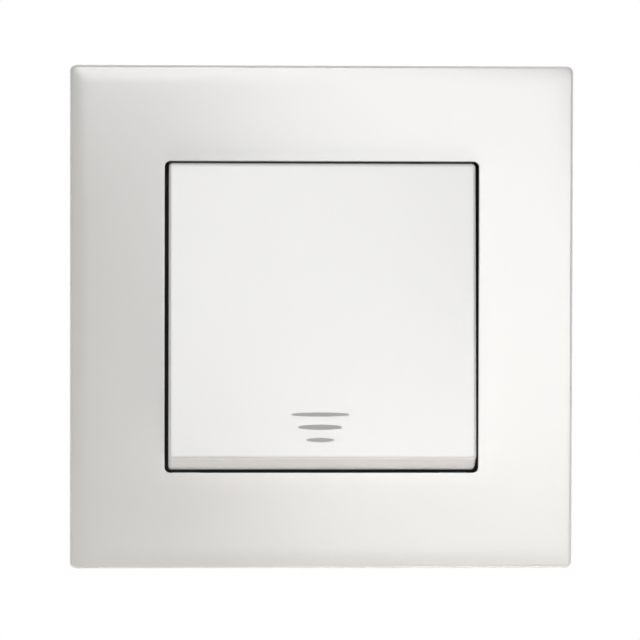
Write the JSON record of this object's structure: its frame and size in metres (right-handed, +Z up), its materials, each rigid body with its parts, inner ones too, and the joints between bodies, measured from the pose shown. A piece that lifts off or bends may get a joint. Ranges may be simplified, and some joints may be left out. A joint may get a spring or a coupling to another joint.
{
  "type": "two-way light switch",
  "caption": "Flush two-way rocker light switch: square cover plate, tilting rocker, dark bezel, steel support plate, changeover contacts, screw terminals and spreading claws.",
  "frame": {"origin": "centre of the wall plane, which is the back face of the support plate", "axes": "+X right, +Z up, +Y into the wall; the room is at -Y"},
  "size_m": [0.082, 0.0363, 0.082],
  "materials": {
    "white_plastic": "satin",
    "rocker_plastic": "satin",
    "mark_grey": "matte",
    "dark_plastic": "matte",
    "grey_plastic": "matte",
    "base_plastic": "matte",
    "natural_plastic": "satin",
    "zinc_steel": "zinc plated",
    "zinc_screws": "zinc plated",
    "spring_steel": "bright",
    "copper_alloy": "rolled",
    "silver_contact": "satin",
    "brass_strip": "rolled"
  },
  "bodies": {
    "housing": {"cover_plate": "white_plastic", "inner_bezel": "dark_plastic", "support_plate": "zinc_steel", "mechanism_lid": "grey_plastic", "base_housing": "base_plastic", "lid_screws": "zinc_screws", "common_rail": "brass_strip", "upper_traveller": "brass_strip", "lower_traveller": "brass_strip", "fixed_contact_tips": "silver_contact"},
    "rocker": {"rocker_cap": "rocker_plastic", "rocker_marks": "mark_grey", "rocker_cradle": "natural_plastic", "plunger_spring": "spring_steel"},
    "plunger": {"plunger": "dark_plastic"},
    "contact_arm": {"contact_arm": "copper_alloy", "moving_contact_tips": "silver_contact"},
    "claw_right": {"claw_right": "zinc_steel"},
    "claw_nut_right": {"claw_nut_right": "zinc_screws"},
    "claw_screw_right": {"claw_screw_right": "zinc_screws"},
    "claw_left": {"claw_left": "zinc_steel"},
    "claw_nut_left": {"claw_nut_left": "zinc_screws"},
    "claw_screw_left": {"claw_screw_left": "zinc_screws"},
    "terminal_cage_upper_right": {"terminal_cage_upper_right": "brass_strip"},
    "terminal_screw_upper_right": {"terminal_screw_upper_right": "zinc_screws"},
    "terminal_cage_upper_left": {"terminal_cage_upper_left": "brass_strip"},
    "terminal_screw_upper_left": {"terminal_screw_upper_left": "zinc_screws"},
    "terminal_cage_lower_right": {"terminal_cage_lower_right": "brass_strip"},
    "terminal_screw_lower_right": {"terminal_screw_lower_right": "zinc_screws"},
    "terminal_cage_lower_left": {"terminal_cage_lower_left": "brass_strip"},
    "terminal_screw_lower_left": {"terminal_screw_lower_left": "zinc_screws"}
  },
  "joints": [
    {"name": "rocker_tilt", "type": "hinge", "parent": "housing", "child": "rocker", "pos_m": [0, -0.001, 0], "axis": [1, 0, 0], "range_deg": [0, 9]},
    {"name": "plunger_slide", "type": "slide", "parent": "rocker", "child": "plunger", "axis": [0, -0.9969, 0.0785], "range_m": [0, 0.0012], "stiffness_N_per_m": 200, "springref_m": -0.004, "deforming": ["plunger_spring"]},
    {"name": "contact_rock", "type": "hinge", "parent": "housing", "child": "contact_arm", "pos_m": [0, 0.01404, 0], "axis": [1, 0, 0], "range_deg": [-16.01, 0]},
    {"name": "claw_nut_slide_right", "type": "slide", "parent": "housing", "child": "claw_nut_right", "axis": [0, -1, 0], "range_m": [0, 0.006]},
    {"name": "claw_screw_spin_right", "type": "hinge", "parent": "housing", "child": "claw_screw_right", "pos_m": [0.021, 0, 0], "axis": [0, 1, 0], "range_deg": [0, 4321]},
    {"name": "claw_swing_right", "type": "hinge", "parent": "housing", "child": "claw_right", "pos_m": [0.0236, 0.0026, 0], "axis": [0, 0, -1], "range_deg": [0, 20.01]},
    {"name": "claw_nut_slide_left", "type": "slide", "parent": "housing", "child": "claw_nut_left", "axis": [0, -1, 0], "range_m": [0, 0.006]},
    {"name": "claw_screw_spin_left", "type": "hinge", "parent": "housing", "child": "claw_screw_left", "pos_m": [-0.021, 0, 0], "axis": [0, 1, 0], "range_deg": [0, 4321]},
    {"name": "claw_swing_left", "type": "hinge", "parent": "housing", "child": "claw_left", "pos_m": [-0.0236, 0.0026, 0], "axis": [0, 0, 1], "range_deg": [0, 20.01]},
    {"name": "terminal_cage_slide_upper_right", "type": "slide", "parent": "housing", "child": "terminal_cage_upper_right", "axis": [1, 0, 0], "range_m": [0, 0.0016]},
    {"name": "terminal_screw_spin_upper_right", "type": "hinge", "parent": "housing", "child": "terminal_screw_upper_right", "pos_m": [0.0154, 0.0136, 0.01], "axis": [-1, 0, 0], "range_deg": [0, 1153]},
    {"name": "terminal_cage_slide_upper_left", "type": "slide", "parent": "housing", "child": "terminal_cage_upper_left", "axis": [-1, 0, 0], "range_m": [0, 0.0016]},
    {"name": "terminal_screw_spin_upper_left", "type": "hinge", "parent": "housing", "child": "terminal_screw_upper_left", "pos_m": [-0.0154, 0.0136, 0.01], "axis": [1, 0, 0], "range_deg": [0, 1153]},
    {"name": "terminal_cage_slide_lower_right", "type": "slide", "parent": "housing", "child": "terminal_cage_lower_right", "axis": [1, 0, 0], "range_m": [0, 0.0016]},
    {"name": "terminal_screw_spin_lower_right", "type": "hinge", "parent": "housing", "child": "terminal_screw_lower_right", "pos_m": [0.0154, 0.0136, -0.01], "axis": [-1, 0, 0], "range_deg": [0, 1153]},
    {"name": "terminal_cage_slide_lower_left", "type": "slide", "parent": "housing", "child": "terminal_cage_lower_left", "axis": [-1, 0, 0], "range_m": [0, 0.0016]},
    {"name": "terminal_screw_spin_lower_left", "type": "hinge", "parent": "housing", "child": "terminal_screw_lower_left", "pos_m": [-0.0154, 0.0136, -0.01], "axis": [1, 0, 0], "range_deg": [0, 1153]}
  ],
  "couplings": [
    {"joint": "contact_rock", "follows": "rocker_tilt", "ratio": -1.7778},
    {"joint": "claw_screw_spin_right", "follows": "claw_nut_slide_right", "rad_per_m": 12566},
    {"joint": "claw_swing_right", "follows": "claw_nut_slide_right", "rad_per_m": 58.178},
    {"joint": "claw_screw_spin_left", "follows": "claw_nut_slide_left", "rad_per_m": 12566},
    {"joint": "claw_swing_left", "follows": "claw_nut_slide_left", "rad_per_m": 58.178},
    {"joint": "terminal_screw_spin_upper_right", "follows": "terminal_cage_slide_upper_right", "rad_per_m": 12566},
    {"joint": "terminal_screw_spin_upper_left", "follows": "terminal_cage_slide_upper_left", "rad_per_m": 12566},
    {"joint": "terminal_screw_spin_lower_right", "follows": "terminal_cage_slide_lower_right", "rad_per_m": 12566},
    {"joint": "terminal_screw_spin_lower_left", "follows": "terminal_cage_slide_lower_left", "rad_per_m": 12566}
  ]
}
